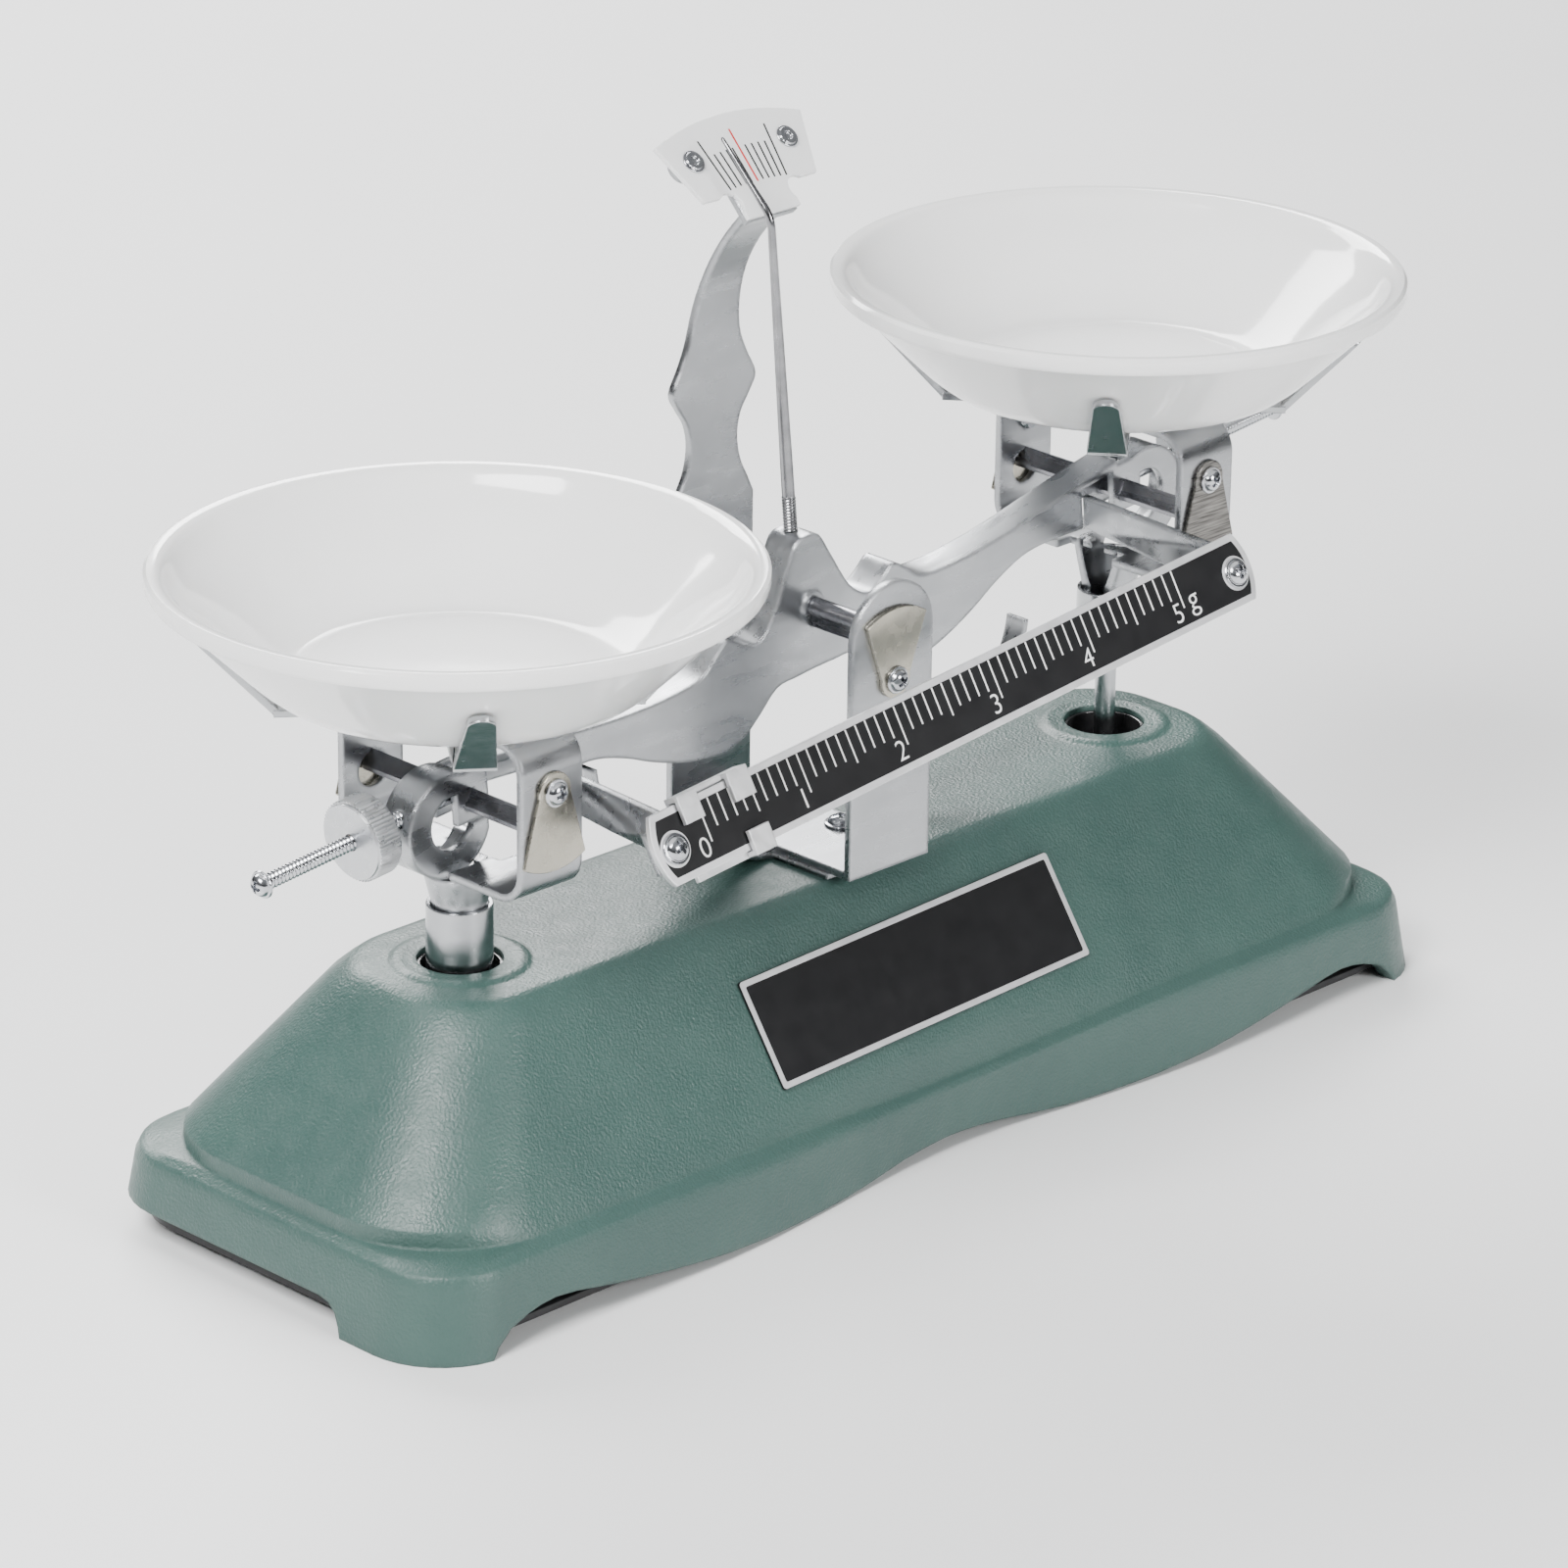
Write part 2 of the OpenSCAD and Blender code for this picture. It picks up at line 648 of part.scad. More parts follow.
module ruler_arms() {
    color([0.72, 0.73, 0.74]) in_beam() for (s = [-1, 1]) {
        x0 = s < 0 ? ruler_c - ruler_screw + 0.4 : ruler_c + ruler_screw - 1.6;
        difference() {
            union() {
                translate([x0, 0, 0]) rotate([90, 0, 90]) linear_extrude(1.2) polygon([
                    [-beam_d / 2 - 0.02, 0.4], [-beam_d / 2 - 0.02, -5], [-20, -6.8], [-33.94, -7.7],
                    [-30.94, -1.7], [-29.2, -0.8]
                ]);
                translate([ruler_c, ruler_y, ruler_z]) rotate([90 - ruler_lean, 0, 0])
                    translate([s > 0 ? 60.2 : -65.2, 2.3, -ruler_t - 1.2]) cube([5, 6.6, 1.18]);
            }
            translate([ruler_c, ruler_y, ruler_z]) rotate([90 - ruler_lean, 0, 0])
                translate([s * ruler_screw, 5.1, -ruler_t - 4]) cylinder(r = screw_r + 0.04, h = 6);
        }
    }
}

module ruler_outline(g) {
    round = 10.5;
    for (s = [-1, 1]) {
        intersection() {
            translate([s * (ruler_half - round), ruler_h / 2]) circle(round - g);
            translate([s > 0 ? 40 : -70, g]) square([30, ruler_h - 2 * g]);
        }
    }
    translate([-ruler_half + round, g]) square([2 * (ruler_half - round), ruler_h - 2 * g]);
}

module ruler_plate() {
    color([0.85, 0.85, 0.85]) in_ruler() translate([0, 0, -ruler_t]) difference() {
        linear_extrude(ruler_t) ruler_outline(0);
        for (s = [-1, 1]) {
            translate([s * ruler_screw, 5.1, -1]) cylinder(r = screw_r + 0.04, h = 4);
        }
    }
}

module ruler_face() {
    color([0.05, 0.05, 0.05]) in_ruler() difference() {
        linear_extrude(0.06) ruler_outline(1.1);
        for (s = [-1, 1]) {
            translate([s * ruler_screw, 5.1, -1]) cylinder(r = 2.8, h = 4);
        }
    }
}

module ruler_marks() {
    color([0.93, 0.93, 0.93]) in_ruler() for (i = [0 : 50]) {
        long = i % 10 == 0 ? 6.2 : i % 5 == 0 ? 5.3 : 4.4;
        translate([zero_x - ruler_c + i * gram / 10 - 0.14, ruler_h - 1.15 - long, 0.07])
            cube([0.28, long, 0.05]);
    }
}

module ruler_screws() {
    color([0.8, 0.8, 0.8]) in_ruler() for (s = [-1, 1]) {
        translate([s * ruler_screw, 5.1, 0]) pan_screw(screw_r, 2.4, 1.7, 3.4);
    }
}

module balance_screws() {
    color([0.75, 0.76, 0.77]) in_beam() for (s = [-1, 1]) {
        translate([s * 110.6, 0, rod_z]) rotate([0, 90 * s, 0]) pan_screw(1.22, 2.15, 1.8, 36.2);
    }
}

// ---------- rider and balance nuts ----------

// clip profile around the ruler section, x is the face height, y is out of the face
module rider_lip(x0, w, h0, h1, front) {
    translate([x0, h0, front]) cube([w, h1 - h0, 0.8]);
}

module rider() {
    g = 0.2;
    back = -ruler_t - g - 0.8;
    front = 0.12 + g;
    color([0.82, 0.83, 0.84]) in_ruler() translate([zero_x - ruler_c, 0, 0]) {
        translate([-4, -1.1, back]) cube([14.4, ruler_h + 2.1, 0.8]);
        translate([6.2, ruler_h + g, back]) cube([4.2, 0.8, front - back + 0.8]);
        rider_lip(6.2, 4.2, ruler_h - 3.6, ruler_h + g + 0.8, front);
        translate([6.2, -g - 0.8, back]) cube([4.2, 0.8, front - back + 0.8]);
        rider_lip(6.2, 4.2, -g - 0.8, 2.9, front);
        translate([-4, ruler_h + g, back]) cube([3.9, 0.8, front - back + 0.8]);
        rider_lip(-4, 3.9, ruler_h - 3.4, ruler_h + g + 0.8, front);
        translate([-0.1, ruler_h + g, back]) cube([6.4, 0.8, 0.8 + ruler_t]);
    }
}

module balance_nut(s) {
    n = 60;
    teeth = [for (i = [0 : 2 * n - 1]) let (r = i % 2 == 0 ? 6.4 : 6.05, a = 180 * i / n)
        [r * cos(a), r * sin(a)]];
    color([0.8, 0.81, 0.82]) in_beam() translate([s * nut_x, 0, rod_z]) rotate([0, 90 * s, 0])
        difference() {
            union() {
                translate([0, 0, 0.4]) linear_extrude(nut_t - 0.8) polygon(teeth);
                cylinder(r = 5.9, h = nut_t);
            }
            translate([0, 0, -1]) cylinder(r = 1.3, h = nut_t + 2);
        }
}

module nut_left() {
    balance_nut(-1);
}

module nut_right() {
    balance_nut(1);
}

// ---------- stirrups ----------

// keyhole in each cheek: the end edge bears in the V at the top
module end_keyhole() {
    translate([0, -3.3]) circle(2.9);
    polygon([[0, 0.04], [2.85, -2.6], [2.85, -3.4], [-2.85, -3.4], [-2.85, -2.6]]);
}

module stirrup(s) {
    w = 2 * (cheek_y + 1.2);
    color([0.76, 0.77, 0.78]) in_stirrup(s) difference() {
        union() {
            difference() {
                translate([-strap_w / 2, 0, 0]) rotate([90, 0, 90]) linear_extrude(strap_w) difference() {
                    translate([0, -0.1]) rounded(w, 25.2, 5);
                    translate([0, -0.1]) rounded(w - 2.4, 22.8, 3.8);
                }
                translate([0, 0, -12]) cube([strap_w + 1, 8.4, 6], center = true);
            }
            translate([0, 0, -28]) cylinder(r = 4.3, h = 16.4);
            translate([0, 0, -19]) cylinder(r1 = 4.3, r2 = 5.9, h = 6.5);
        }
        translate([0, 0, -29]) cylinder(r = 3.1, h = 22);
        translate([0, 0, -19]) cylinder(r1 = 3.1, r2 = 4.7, h = 6.6);
        translate([-s * 4.6 - 3.4, -6, -11.49]) cube([6.8, 12, 10]);
        translate([-s * 5.4 - 2.6, -6, -20]) cube([5.2, 12, 9]);
        translate([s * 6 - 6, -4.4, -13.8]) cube([12, 8.8, 3]);
        for (y = [-cheek_y - 2, cheek_y - 1]) {
            translate([0, y, 0]) upright(3) {
                end_keyhole();
                translate([0, 4.4]) circle(screw_r + 0.04);
            }
        }
    }
}

module stirrup_left() {
    stirrup(-1);
}

module stirrup_right() {
    stirrup(1);
}

module stirrup_covers(s) {
    color([0.8, 0.79, 0.73]) in_stirrup(s) for (y = [-1, 1]) {
        translate([0, y * (cheek_y + 1.2) + (y < 0 ? -0.7 : 0), 4.4]) difference() {
            mirror([0, 0, 1]) upright(0.7) fan(3.2, 12.4, 16);
            translate([0, -1, 0]) upright(4) circle(screw_r + 0.04);
        }
    }
}

module covers_left() {
    stirrup_covers(-1);
}

module covers_right() {
    stirrup_covers(1);
}

module stirrup_screws(s) {
    color([0.8, 0.8, 0.8]) in_stirrup(s) for (y = [-1, 1]) {
        translate([0, y * (cheek_y + 1.9), 4.4]) rotate([-90 * y, 0, 0]) pan_screw(screw_r, 2.2, 1.6, 3.2);
    }
}

module cover_screws_left() {
    stirrup_screws(-1);
}

module cover_screws_right() {
    stirrup_screws(1);
}

// cross of two strips on top of the stirrup with four tabs that hold the pan
module carrier(s, yaw) {
    foot = 27.5;
    color([0.78, 0.79, 0.8]) in_stirrup(s) translate([0, 0, 12.52]) rotate([0, 0, 45 + yaw]) {
        for (a = [0, 90]) {
            rotate([0, 0, a]) translate([-foot, -3.2, 0]) cube([2 * foot, 6.4, 1.1]);
        }
        for (a = [0 : 90 : 270]) {
            rotate([0, 0, a]) translate([foot - 0.4, 0, 0]) rotate([0, -45, 0]) rotate([0, 0, -90])
                linear_extrude(1.1) {
                    polygon([[-3.2, 0], [-2.1, 15.4], [2.1, 15.4], [3.2, 0]]);
                    translate([0, 15.4]) circle(2.1);
                }
        }
    }
}

module carrier_left() {
    carrier(-1, yaw_left);
}

module carrier_right() {
    carrier(1, yaw_right);
}

module ferrule(s) {
    color([0.78, 0.79, 0.8]) in_stirrup(s) translate([0, 0, -30.6]) difference() {
        cylinder(r = ferrule_r, h = 11.4);
        translate([0, 0, 1.6]) cylinder(r = 4.35, h = 12);
        translate([0, 0, -1]) cylinder(r = stem_r + 0.02, h = 4);
    }
}

module ferrule_left() {
    ferrule(-1);
}

module ferrule_right() {
    ferrule(1);
}

module stem(s) {
    color([0.72, 0.73, 0.74]) in_stirrup(s) difference() {
        union() {
            translate([0, 0, -link_drop + 1.5]) cylinder(r = stem_r, h = link_drop - 30);
            translate([0, 0, -28.9]) cylinder(r = 3, h = 1.4);
            translate([0, -1.2, -link_drop]) upright(2.4) {
                circle(2.7);
                translate([-1.4, 0]) square([2.8, 4]);
            }
        }
        translate([0, 5, -link_drop]) rotate([90, 0, 0]) cylinder(r = 1.58, h = 10);
    }
}

module stem_left() {
    stem(-1);
}

module stem_right() {
    stem(1);
}

// ---------- lower link inside the base ----------

module lower_link() {
    color([0.7, 0.71, 0.72]) in_link() difference() {
        union() {
            for (y = [-2.9, 1.8]) {
                translate([0, y, 0]) upright(1.1) {
                    square([2 * arm, 6.4], center = true);
                    for (s = [-1, 1]) {
                        translate([s * arm, 0]) circle(3.2);
                    }
                }
            }
            translate([-arm + 8, -2.9, -3.2]) cube([2 * arm - 16, 5.8, 0.9]);
        }
        translate([0, 5, 0]) rotate([90, 0, 0]) cylinder(r = 1.54, h = 10);
        for (s = [-1, 1]) {
            translate([s * arm, 5, 0]) rotate([90, 0, 0]) cylinder(r = 1.5, h = 10);
        }
    }
}

module link_pins() {
    color([0.7, 0.7, 0.72]) in_link() for (s = [-1, 1]) {
        translate([s * arm, 3.5, 0]) rotate([90, 0, 0]) cylinder(r = 1.48, h = 7);
    }
}

// ---------- pans ----------

module pan(s) {
    lip = pan_h - 2.9;
    outer = curve([[24, 0], [27.2, 0.5], [30.2, 2.4], [33, 4.9], [39, 10.8], [42.8, 14.5], [44.4, lip]], 3);
    inner = curve([[44.3, pan_h - 0.1], [43.2, pan_h - 0.7], [41.2, 15.5], [37.6, 12.1], [31.6, 6.3],
        [28.6, 3.9], [26, 2.3], [23.4, 1.8]], 3);
    color([0.96, 0.96, 0.95]) in_stirrup(s) translate([0, 0, pan_z]) rotate_extrude($fn = 96) polygon(concat(
        [[0, 0]], outer, [[44.6, lip], [45.6, lip + 0.1], [pan_r, lip + 0.8], [pan_r, pan_h - 0.5],
        [pan_r - 0.5, pan_h], [pan_r - 1.2, pan_h]], inner, [[23.4, 1.8], [0, 1.8]]));
}

module pan_left() {
    pan(-1);
}

module pan_right() {
    pan(1);
}

base_housing();
bottom_plate();
bottom_plate_screws();
hole_liners();
nameplate();
link_bracket();
link_bracket_screws();
link_axle();
centre_bracket();
bracket_screws();
stop_plate();
front_post_cover();
back_post_cover();
post_cover_screws();
dial_plate();
dial_rivets();
dial_marks();
dial_zero();
beam_body();
centre_knife();
end_knives();
pointer();
ruler_arms();
ruler_plate();
ruler_face();
ruler_marks();
ruler_screws();
balance_screws();
rider();
nut_left();
nut_right();
stirrup_left();
stirrup_right();
covers_left();
covers_right();
cover_screws_left();
cover_screws_right();
carrier_left();
carrier_right();
ferrule_left();
ferrule_right();
stem_left();
stem_right();
lower_link();
link_pins();
pan_left();
pan_right();
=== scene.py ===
"""Looks of the equal arm balance scale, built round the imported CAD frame."""

import json
import math

import bmesh
import bpy
from mathutils import Matrix, Vector


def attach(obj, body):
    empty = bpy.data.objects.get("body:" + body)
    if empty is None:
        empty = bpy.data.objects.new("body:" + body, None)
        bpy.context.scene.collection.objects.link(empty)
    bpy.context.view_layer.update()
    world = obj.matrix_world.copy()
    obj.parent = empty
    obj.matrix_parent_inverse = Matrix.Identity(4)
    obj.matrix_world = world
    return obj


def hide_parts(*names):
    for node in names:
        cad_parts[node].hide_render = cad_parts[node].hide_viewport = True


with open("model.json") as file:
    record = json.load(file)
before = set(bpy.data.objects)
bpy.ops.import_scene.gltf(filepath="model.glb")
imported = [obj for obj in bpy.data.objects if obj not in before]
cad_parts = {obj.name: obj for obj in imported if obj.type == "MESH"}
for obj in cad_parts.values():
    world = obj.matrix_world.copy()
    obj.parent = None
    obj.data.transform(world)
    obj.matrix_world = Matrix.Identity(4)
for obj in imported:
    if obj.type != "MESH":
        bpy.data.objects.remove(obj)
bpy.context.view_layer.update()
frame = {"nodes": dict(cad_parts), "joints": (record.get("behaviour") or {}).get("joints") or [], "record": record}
nodes = frame["nodes"]
MM = 0.001


# ---------- where things are: joints from the frame, seats at the sizes of the CAD ----------

joints = {j["name"]: j for j in frame["joints"]}
TILT = math.radians(joints["beam_swing"]["range_deg"][1]) / 2
PIVOT = Vector(joints["beam_swing"]["pos_m"])
LEFT = Vector(joints["left_stirrup_swing"]["pos_m"])
RIGHT = Vector(joints["right_stirrup_swing"]["pos_m"])

BEAM = Matrix.Translation(PIVOT) @ Matrix.Rotation(-TILT, 4, "Y")

# Ruler frame: x along the ruler, y up its face, z out of the face. Lengths here are in millimetres.
RULER_LEAN = math.radians(26.7)
RULER_X = 1.4
RULER_Y = -36.2
RULER_Z = -9.93 + 0.3 * math.cos(RULER_LEAN)
RULER_SCREW_X = 61.8
RULER_SCREW_UP = 5.1
ZERO_X = -53.6
GRAM = 20.8
RULER = BEAM @ Matrix.Translation(Vector((RULER_X, RULER_Y, RULER_Z)) * MM) \
    @ Matrix.Rotation(math.pi / 2 - RULER_LEAN, 4, "X")

# Screw seats and balance rods, in millimetres from a pivot, a centre plane or the table
POST_SEAT_Y = 21.1
POST_SCREW_Z = 74.6
CHEEK_SEAT_Y = 20.9
COVER_SCREW_UP = 4.4
BRACKET_SCREW_X = 4.8
BRACKET_SCREW_Y = 5
BRACKET_SEAT_Z = 44.6
ROD_END_X = 110.6
ROD_Z = -1.5
ROD_THREAD = 28.4
ROD_LENGTH = 36.2

# Nameplate on the sloping front of the base
FACE_TAN = 0.66
DECK_HALF_WIDTH = 17
DECK_Z = 42.5
PLATE_DROP = 7
PLATE_DOWN = 8.9
PLATE_OUT = 0.46
PLATE_TURN = math.radians(1.6)


# ---------- materials ----------

# Sockets of the Mix node that carry colours
MIX_A = 6
MIX_B = 7
MIX_OUT = 2


class Paint:
    """A node material with short calls for the detail that every finish shares."""

    def __init__(self, name, color, metallic=0.0, rough=0.4, coat=0.0, coat_rough=0.1, ior=1.5):
        self.mat = bpy.data.materials.new(name)
        self.mat.use_nodes = True
        self.tree = self.mat.node_tree
        self.shader = self.tree.nodes["Principled BSDF"]
        self.base = color
        self.rough = rough
        self.normal = None
        put = self.shader.inputs
        put["Base Color"].default_value = (*color, 1)
        put["Metallic"].default_value = metallic
        put["Roughness"].default_value = rough
        put["IOR"].default_value = ior
        put["Coat Weight"].default_value = coat
        put["Coat Roughness"].default_value = coat_rough

    def node(self, kind, **values):
        made = self.tree.nodes.new(kind)
        for key, value in values.items():
            setattr(made, key, value)
        return made

    def link(self, out, into):
        self.tree.links.new(out, into)

    def noise(self, scale, detail=3.0, stretch=(1, 1, 1), rough=0.55):
        coords = self.node("ShaderNodeTexCoord")
        mapping = self.node("ShaderNodeMapping")
        mapping.inputs["Scale"].default_value = stretch
        made = self.node("ShaderNodeTexNoise")
        made.inputs["Scale"].default_value = scale
        made.inputs["Detail"].default_value = detail
        made.inputs["Roughness"].default_value = rough
        self.link(coords.outputs["Object"], mapping.inputs["Vector"])
        self.link(mapping.outputs["Vector"], made.inputs["Vector"])
        return made.outputs["Fac"]

    def ramp(self, value, low, high, start=0.3, end=0.7):
        made = self.node("ShaderNodeMapRange")
        made.inputs["From Min"].default_value = start
        made.inputs["From Max"].default_value = end
        made.inputs["To Min"].default_value = low
        made.inputs["To Max"].default_value = high
        self.link(value, made.inputs["Value"])
        return made.outputs["Result"]

    def bump(self, height, strength, depth):
        made = self.node("ShaderNodeBump")
        made.inputs["Strength"].default_value = strength
        made.inputs["Distance"].default_value = depth
        self.link(height, made.inputs["Height"])
        if self.normal is not None:
            self.link(self.normal, made.inputs["Normal"])
        self.normal = made.outputs["Normal"]
        self.link(self.normal, self.shader.inputs["Normal"])

    def vary_rough(self, value, spread):
        out = self.ramp(value, max(self.rough - spread, 0.02), min(self.rough + spread, 1))
        self.link(out, self.shader.inputs["Roughness"])

    def vary_color(self, value, other, start=0.35, end=0.7):
        mix = self.node("ShaderNodeMix", data_type="RGBA")
        self.link(self.ramp(value, 0, 1, start, end), mix.inputs["Factor"])
        mix.inputs[MIX_A].default_value = (*self.base, 1)
        mix.inputs[MIX_B].default_value = (*other, 1)
        self.last_color = mix.outputs[MIX_OUT]
        self.link(self.last_color, self.shader.inputs["Base Color"])

    def rounded(self, radius):
        """Softens the shading along sharp edges, as a small radius does."""
        self.bevel = self.node("ShaderNodeBevel", samples=4)
        self.bevel.inputs["Radius"].default_value = radius
        self.normal = self.bevel.outputs["Normal"]
        self.link(self.normal, self.shader.inputs["Normal"])

    def worn_edges(self, color, amount):
        """Paints a highlight along sharp edges as brighter colour in narrow bands, broken into patches. Needs
        rounded() and vary_color() first.
        """
        geometry = self.node("ShaderNodeNewGeometry")
        dot = self.node("ShaderNodeVectorMath", operation="DOT_PRODUCT")
        self.link(self.bevel.outputs["Normal"], dot.inputs[0])
        self.link(geometry.outputs["Normal"], dot.inputs[1])
        edge = self.ramp(dot.outputs["Value"], amount, 0, 0.8, 0.99)
        # Patches break up the painted edge highlight.
        patches = self.ramp(self.noise(900, 2), 0.2, 1, 0.4, 0.62)
        both = self.node("ShaderNodeMath", operation="MULTIPLY")
        self.link(edge, both.inputs[0])
        self.link(patches, both.inputs[1])
        mix = self.node("ShaderNodeMix", data_type="RGBA")
        self.link(both.outputs["Value"], mix.inputs["Factor"])
        self.link(self.last_color, mix.inputs[MIX_A])
        mix.inputs[MIX_B].default_value = (*color, 1)
        self.last_color = mix.outputs[MIX_OUT]
        self.link(self.last_color, self.shader.inputs["Base Color"])


def srgb(r, g, b):
    """Linear colour from one given as it looks on a screen, 11 to 255."""
    return tuple(((c / 255 + 0.055) / 1.055) ** 2.4 for c in (r, g, b))


def green_paint():
    """Semi gloss paint over a fine cast grain, with a painted highlight along its edges."""
    p = Paint("green_paint", srgb(54, 80, 75), rough=0.42, coat=0.12, coat_rough=0.3)
    p.vary_color(p.noise(45, 3), srgb(59, 86, 80))
    p.vary_rough(p.noise(260, 3), 0.07)
    p.rounded(0.0009)
    p.bump(p.noise(2100, 1.5, rough=0.4), 0.85, 0.00016)
    p.bump(p.noise(520, 1.5), 0.12, 0.0001)
    # Painted highlight: a paler grey-green band along the sharp edges, broken into patches.
    p.worn_edges(srgb(112, 136, 131), 0.3)
    return p.mat


def zinc_sheet():
    """Plated sheet: faint rolling lines along the beam, mottled plating and a painted highlight along the edges.
    """
    tint = (0.44, 0.45, 0.465)
    p = Paint("zinc_sheet", tint, metallic=1, rough=0.30)
    p.rounded(0.0009)
    p.vary_color(p.noise(55, 5), tuple(c * 0.83 for c in tint))
    p.vary_rough(p.noise(420, 4, stretch=(0.25, 1, 1)), 0.09)
    p.bump(p.noise(1500, 2, stretch=(0.06, 1, 1)), 0.18, 0.00004)
    p.bump(p.noise(300, 3), 0.06, 0.00012)
    # Painted highlight: brighter metal colour along the sharp edges.
    p.worn_edges(tuple(c * 1.35 for c in tint), 0.6)
    return p.mat


def bright_plate():
    """Bright plating of the carriers, ferrules and stems."""
    p = Paint("bright_zinc", (0.44, 0.455, 0.46), metallic=1, rough=0.22)
    p.rounded(0.0003)
    p.vary_color(p.noise(70, 4), (0.42, 0.43, 0.45))
    p.vary_rough(p.noise(380, 3), 0.06)
    p.bump(p.noise(260, 2), 0.10, 0.00014)
    # Painted highlight: near-white metal colour along the sharp edges.
    p.worn_edges((0.93, 0.93, 0.93), 0.5)
    return p.mat


def rider_tin():
    """Pale tinned sheet of the rider."""
    p = Paint("rider_tin", (0.87, 0.87, 0.88), metallic=0.65, rough=0.4)
    p.rounded(0.0003)
    p.vary_color(p.noise(320, 4), (0.76, 0.77, 0.78))
    p.vary_rough(p.noise(700, 3), 0.08)
    p.bump(p.noise(1400, 2, stretch=(1, 0.1, 0.1)), 0.2, 0.00004)
    return p.mat


def needle_steel():
    """Drawn steel of the pointer, darker than the screws."""
    p = Paint("needle_steel", (0.30, 0.30, 0.31), metallic=1, rough=0.22)
    p.rounded(0.0001)
    p.vary_color(p.noise(400, 3), (0.22, 0.22, 0.23))
    p.vary_rough(p.noise(900, 3, stretch=(1, 1, 0.1)), 0.07)
    p.bump(p.noise(1800, 2, stretch=(1, 1, 0.05)), 0.2, 0.00004)
    return p.mat


def brushed_cover():
    """Bare steel cover with coarse brushing across the sheet."""
    p = Paint("brushed_cover", (0.10, 0.095, 0.09), metallic=1, rough=0.33)
    p.rounded(0.0002)
    p.vary_color(p.noise(3200, 2, stretch=(0.05, 1, 1)), (0.30, 0.29, 0.27))
    p.vary_rough(p.noise(700, 3), 0.06)
    p.bump(p.noise(2200, 2, stretch=(0.05, 1, 1)), 0.5, 0.00006)
    # Painted highlight: pale steel colour along the sharp edges.
    p.worn_edges((0.8, 0.79, 0.75), 0.6)
    return p.mat


def screw_steel():
    """Bright plated screws and rods."""
    p = Paint("screw_steel", (0.58, 0.59, 0.61), metallic=1, rough=0.16)
    p.rounded(0.00012)
    p.vary_color(p.noise(500, 3), (0.5, 0.51, 0.54))
    p.vary_rough(p.noise(900, 3), 0.07)
    p.bump(p.noise(1400, 2), 0.14, 0.00005)
    return p.mat


def knife_steel():
    """Ground steel of the three knives, with marks along each edge."""
    p = Paint("knife_steel", (0.34, 0.34, 0.36), metallic=1, rough=0.28)
    p.rounded(0.0002)
    p.vary_color(p.noise(160, 4), (0.23, 0.23, 0.25))
    p.vary_rough(p.noise(700, 3, stretch=(1, 0.1, 1)), 0.08)
    p.bump(p.noise(2200, 2, stretch=(1, 0.05, 1)), 0.25, 0.00005)
    # Painted highlight: pale steel colour along the sharp edges.
    p.worn_edges((0.7, 0.7, 0.72), 0.6)
    return p.mat


def cover_nickel():
    """Warm nickel plate of the bearing covers."""
    p = Paint("cover_nickel", (0.52, 0.49, 0.41), metallic=1, rough=0.25)
    p.rounded(0.0002)
    p.vary_color(p.noise(120, 4), (0.43, 0.41, 0.35))
    p.vary_rough(p.noise(420, 3), 0.08)
    p.bump(p.noise(1600, 2, stretch=(1, 1, 0.08)), 0.16, 0.00004)
    # Painted highlight: pale nickel colour along the sharp edges.
    p.worn_edges((0.9, 0.89, 0.84), 0.6)
    return p.mat


def nut_alloy():
    """Turned alloy of the balance nuts."""
    p = Paint("nut_alloy", (0.56, 0.57, 0.58), metallic=1, rough=0.32)
    p.rounded(0.00015)
    p.vary_color(p.noise(300, 4), (0.56, 0.57, 0.59))
    p.vary_rough(p.noise(900, 3), 0.08)
    p.bump(p.noise(1800, 2), 0.18, 0.00006)
    # Painted highlight: near-white alloy colour along the sharp edges.
    p.worn_edges((0.92, 0.92, 0.92), 0.5)
    return p.mat


def ruler_edge():
    """Pale satin rim of the ruler and of the nameplate."""
    p = Paint("ruler_edge", (0.86, 0.86, 0.87), metallic=0.7, rough=0.42)
    p.rounded(0.0002)
    p.vary_color(p.noise(110, 3), (0.80, 0.80, 0.82))
    p.vary_rough(p.noise(500, 3), 0.06)
    p.bump(p.noise(1700, 2, stretch=(0.05, 1, 1)), 0.2, 0.00004)
    return p.mat


def gloss_white(name, color, rough, coat):
    """Moulded white plastic: very shallow sink marks and a few softer patches in the gloss."""
    p = Paint(name, color, rough=rough, coat=coat, coat_rough=0.06)
    p.vary_color(p.noise(38, 2), tuple(c * 0.975 for c in color))
    p.vary_rough(p.noise(90, 3), 0.035)
    p.bump(p.noise(60, 2), 0.05, 0.0003)
    put = p.shader.inputs
    put["Subsurface Weight"].default_value = 0.12
    put["Subsurface Radius"].default_value = (1, 0.9, 0.8)
    put["Subsurface Scale"].default_value = 0.002
    return p.mat


def painted(name, color, rough, grain=900, strength=0.08, other=None):
    """Thin even paint or print over metal."""
    p = Paint(name, color, rough=rough, ior=1.35)
    p.vary_color(p.noise(140, 3), other or tuple(min(c * 1.25 + 0.004, 1) for c in color))
    p.vary_rough(p.noise(300, 3), 0.06)
    p.bump(p.noise(grain, 2), strength, 0.00005)
    return p.mat


def liner():
    """Glossy black bushes in the deck holes."""
    p = Paint("black_liner", (0.012, 0.012, 0.013), rough=0.2, coat=0.4)
    p.vary_color(p.noise(200, 3), (0.03, 0.03, 0.03))
    p.vary_rough(p.noise(300, 3), 0.1)
    p.bump(p.noise(420, 2), 0.25, 0.0002)
    return p.mat


